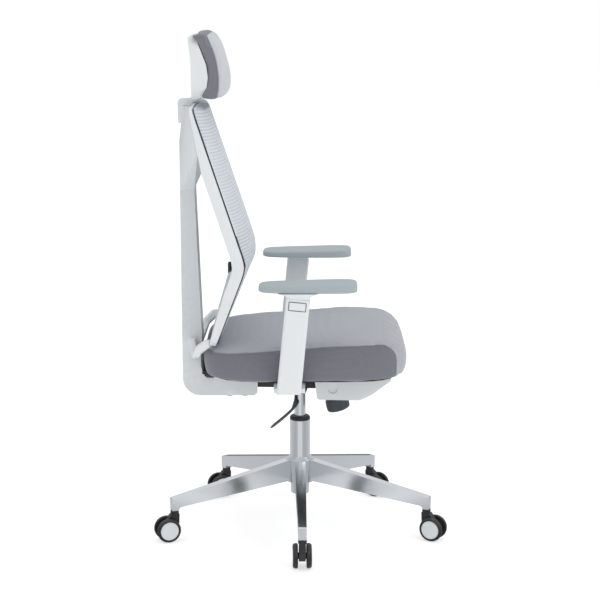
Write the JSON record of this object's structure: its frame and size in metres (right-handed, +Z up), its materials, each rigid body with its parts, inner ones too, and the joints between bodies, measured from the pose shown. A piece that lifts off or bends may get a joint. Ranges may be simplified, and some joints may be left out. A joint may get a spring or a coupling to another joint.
{
  "type": "swivel office chair",
  "caption": "High-backed swivel office chair with a tilting upholstered seat, mesh back on one spine, headrest and height-adjustable arms on a castored star base.",
  "frame": {"origin": "on the floor, under the axis of the gas column", "axes": "+Z up; the chair faces -Y, so the sitter's right is -X"},
  "size_m": [0.6382, 0.7319, 1.2549],
  "materials": {
    "white_plastic": "satin",
    "chrome": "polished",
    "steel": "satin",
    "black_steel": "satin powder coat",
    "black_plastic": "satin",
    "slate_plastic": "satin",
    "seat_fabric": "woven",
    "head_fabric": "woven",
    "mesh": "ribbed mesh",
    "pad_grey": "matte",
    "castor_black": "satin"
  },
  "bodies": {
    "base": {"star_base": "chrome", "column_tube": "chrome", "column_bush": "black_plastic", "column_collar": "black_plastic", "thrust_bearing": "steel"},
    "swivel_rod": {"piston_rod": "steel"},
    "lift": {"gas_cylinder": "chrome", "mechanism_pan": "black_steel", "tilt_pivots": "steel", "tilt_spring": "steel", "lever_pin": "steel", "front_cover": "white_plastic"},
    "release_pin": {"gas_release_pin": "steel"},
    "tension_knob": {"tension_knob": "slate_plastic"},
    "height_lever": {"height_lever": "slate_plastic"},
    "seat": {"seat_plate": "black_steel", "seat_shell": "black_plastic", "seat_cushion": "seat_fabric", "under_seat_bolts": "steel", "right_arm_sleeve": "white_plastic", "left_arm_sleeve": "white_plastic"},
    "back": {"recline_bracket": "black_steel", "back_spine": "white_plastic", "rear_cover": "white_plastic", "back_bolts": "steel", "back_frame": "white_plastic", "mesh_trim": "slate_plastic", "back_mesh": "mesh"},
    "right_arm": {"right_arm_post": "white_plastic", "right_arm_pad": "pad_grey"},
    "left_arm": {"left_arm_post": "white_plastic", "left_arm_pad": "pad_grey"},
    "right_arm_button": {"right_arm_button": "white_plastic"},
    "left_arm_button": {"left_arm_button": "white_plastic"},
    "lumbar": {"lumbar_support": "slate_plastic"},
    "headrest_slider": {"headrest_slider": "white_plastic", "headrest_pin": "steel"},
    "headrest": {"headrest_shell": "white_plastic", "headrest_pad": "head_fabric"},
    "castor_1": {"castor_1_fork": "castor_black", "castor_1_axle": "steel"},
    "castor_1_wheel_a": {"castor_1_wheel_a": "castor_black"},
    "castor_1_wheel_b": {"castor_1_wheel_b": "castor_black"},
    "castor_2": {"castor_2_fork": "castor_black", "castor_2_axle": "steel"},
    "castor_2_wheel_a": {"castor_2_wheel_a": "castor_black"},
    "castor_2_wheel_b": {"castor_2_wheel_b": "castor_black"},
    "castor_3": {"castor_3_fork": "castor_black", "castor_3_axle": "steel"},
    "castor_3_wheel_a": {"castor_3_wheel_a": "castor_black"},
    "castor_3_wheel_b": {"castor_3_wheel_b": "castor_black"},
    "castor_4": {"castor_4_fork": "castor_black", "castor_4_axle": "steel"},
    "castor_4_wheel_a": {"castor_4_wheel_a": "castor_black"},
    "castor_4_wheel_b": {"castor_4_wheel_b": "castor_black"},
    "castor_5": {"castor_5_fork": "castor_black", "castor_5_axle": "steel"},
    "castor_5_wheel_a": {"castor_5_wheel_a": "castor_black"},
    "castor_5_wheel_b": {"castor_5_wheel_b": "castor_black"}
  },
  "joints": [
    {"name": "seat_swivel", "type": "hinge", "parent": "base", "child": "swivel_rod", "pos_m": [0, 0, 0.12], "axis": [0, 0, 1], "continuous": true},
    {"name": "seat_height", "type": "slide", "parent": "swivel_rod", "child": "lift", "axis": [0, 0, 1], "range_m": [-0.05, 0.05]},
    {"name": "tension_turn", "type": "hinge", "parent": "lift", "child": "tension_knob", "pos_m": [0, -0.099, 0.308], "axis": [0, 0.2756, 0.9613], "range_deg": [-360, 360]},
    {"name": "lever_lift", "type": "hinge", "parent": "lift", "child": "height_lever", "pos_m": [-0.048, 0.004, 0.396], "axis": [0, 1, 0], "range_deg": [0, 6], "stiffness_Nm_per_rad": 2, "springref_deg": -11.46},
    {"name": "pin_press", "type": "slide", "parent": "lift", "child": "release_pin", "axis": [0, 0, -1], "range_m": [0, 0.005]},
    {"name": "seat_tilt", "type": "hinge", "parent": "lift", "child": "seat", "pos_m": [0, -0.081, 0.386], "axis": [-1, 0, 0], "range_deg": [0, 9.05]},
    {"name": "back_recline", "type": "hinge", "parent": "lift", "child": "back", "pos_m": [0, 0.045, 0.389], "axis": [-1, 0, 0], "range_deg": [0, 18], "stiffness_Nm_per_rad": 60, "springref_deg": -28.65},
    {"name": "right_arm_height", "type": "slide", "parent": "seat", "child": "right_arm", "axis": [0, -0.0958, 0.9954], "range_m": [0, 0.07]},
    {"name": "right_button_press", "type": "slide", "parent": "seat", "child": "right_arm_button", "axis": [1, 0, 0], "range_m": [0, 0.002], "stiffness_N_per_m": 500, "springref_m": -0.002},
    {"name": "left_arm_height", "type": "slide", "parent": "seat", "child": "left_arm", "axis": [0, -0.0958, 0.9954], "range_m": [0, 0.07]},
    {"name": "left_button_press", "type": "slide", "parent": "seat", "child": "left_arm_button", "axis": [-1, 0, 0], "range_m": [0, 0.002], "stiffness_N_per_m": 500, "springref_m": -0.002},
    {"name": "lumbar_height", "type": "slide", "parent": "back", "child": "lumbar", "axis": [0, 0, 1], "range_m": [-0.012, 0.012]},
    {"name": "headrest_height", "type": "slide", "parent": "back", "child": "headrest_slider", "axis": [0, 0, 1], "range_m": [0, 0.05]},
    {"name": "headrest_tilt", "type": "hinge", "parent": "headrest_slider", "child": "headrest", "pos_m": [0, 0.25, 1.096], "axis": [1, 0, 0], "range_deg": [-8, 20]},
    {"name": "castor_1_swivel", "type": "hinge", "parent": "base", "child": "castor_1", "pos_m": [-0.32995, -0.00576, 0.07], "axis": [0, 0, 1], "continuous": true},
    {"name": "castor_1_roll_a", "type": "hinge", "parent": "castor_1", "child": "castor_1_wheel_a", "pos_m": [-0.31096, -0.0051, 0.03], "axis": [-0.0349, 0.9994, 0], "continuous": true},
    {"name": "castor_1_roll_b", "type": "hinge", "parent": "castor_1", "child": "castor_1_wheel_b", "pos_m": [-0.31096, -0.0051, 0.03], "axis": [-0.0349, 0.9994, 0], "continuous": true},
    {"name": "castor_2_swivel", "type": "hinge", "parent": "base", "child": "castor_2", "pos_m": [-0.09648, -0.31558, 0.07], "axis": [0, 0, 1], "continuous": true},
    {"name": "castor_2_roll_a", "type": "hinge", "parent": "castor_2", "child": "castor_2_wheel_a", "pos_m": [-0.1054, -0.33236, 0.03], "axis": [0.8829, -0.4695, 0], "continuous": true},
    {"name": "castor_2_roll_b", "type": "hinge", "parent": "castor_2", "child": "castor_2_wheel_b", "pos_m": [-0.1054, -0.33236, 0.03], "axis": [0.8829, -0.4695, 0], "continuous": true},
    {"name": "castor_3_swivel", "type": "hinge", "parent": "base", "child": "castor_3", "pos_m": [0.27032, -0.18928, 0.07], "axis": [0, 0, 1], "continuous": true},
    {"name": "castor_3_roll_a", "type": "hinge", "parent": "castor_3", "child": "castor_3_wheel_a", "pos_m": [0.26229, -0.2065, 0.03], "axis": [0.9063, -0.4226, 0], "continuous": true},
    {"name": "castor_3_roll_b", "type": "hinge", "parent": "castor_3", "child": "castor_3_wheel_b", "pos_m": [0.26229, -0.2065, 0.03], "axis": [0.9063, -0.4226, 0], "continuous": true},
    {"name": "castor_4_swivel", "type": "hinge", "parent": "base", "child": "castor_4", "pos_m": [0.26355, 0.1986, 0.07], "axis": [0, 0, 1], "continuous": true},
    {"name": "castor_4_roll_a", "type": "hinge", "parent": "castor_4", "child": "castor_4_wheel_a", "pos_m": [0.25643, 0.21621, 0.03], "axis": [-0.9272, -0.3746, 0], "continuous": true},
    {"name": "castor_4_roll_b", "type": "hinge", "parent": "castor_4", "child": "castor_4_wheel_b", "pos_m": [0.25643, 0.21621, 0.03], "axis": [-0.9272, -0.3746, 0], "continuous": true},
    {"name": "castor_5_swivel", "type": "hinge", "parent": "base", "child": "castor_5", "pos_m": [-0.10744, 0.31202, 0.07], "axis": [0, 0, 1], "continuous": true},
    {"name": "castor_5_roll_a", "type": "hinge", "parent": "castor_5", "child": "castor_5_wheel_a", "pos_m": [-0.11394, 0.32987, 0.03], "axis": [-0.9397, -0.342, 0], "continuous": true},
    {"name": "castor_5_roll_b", "type": "hinge", "parent": "castor_5", "child": "castor_5_wheel_b", "pos_m": [-0.11394, 0.32987, 0.03], "axis": [-0.9397, -0.342, 0], "continuous": true}
  ],
  "couplings": [
    {"joint": "seat_tilt", "follows": "back_recline", "ratio": 0.5},
    {"joint": "pin_press", "follows": "lever_lift", "m_per_rad": 0.046}
  ]
}
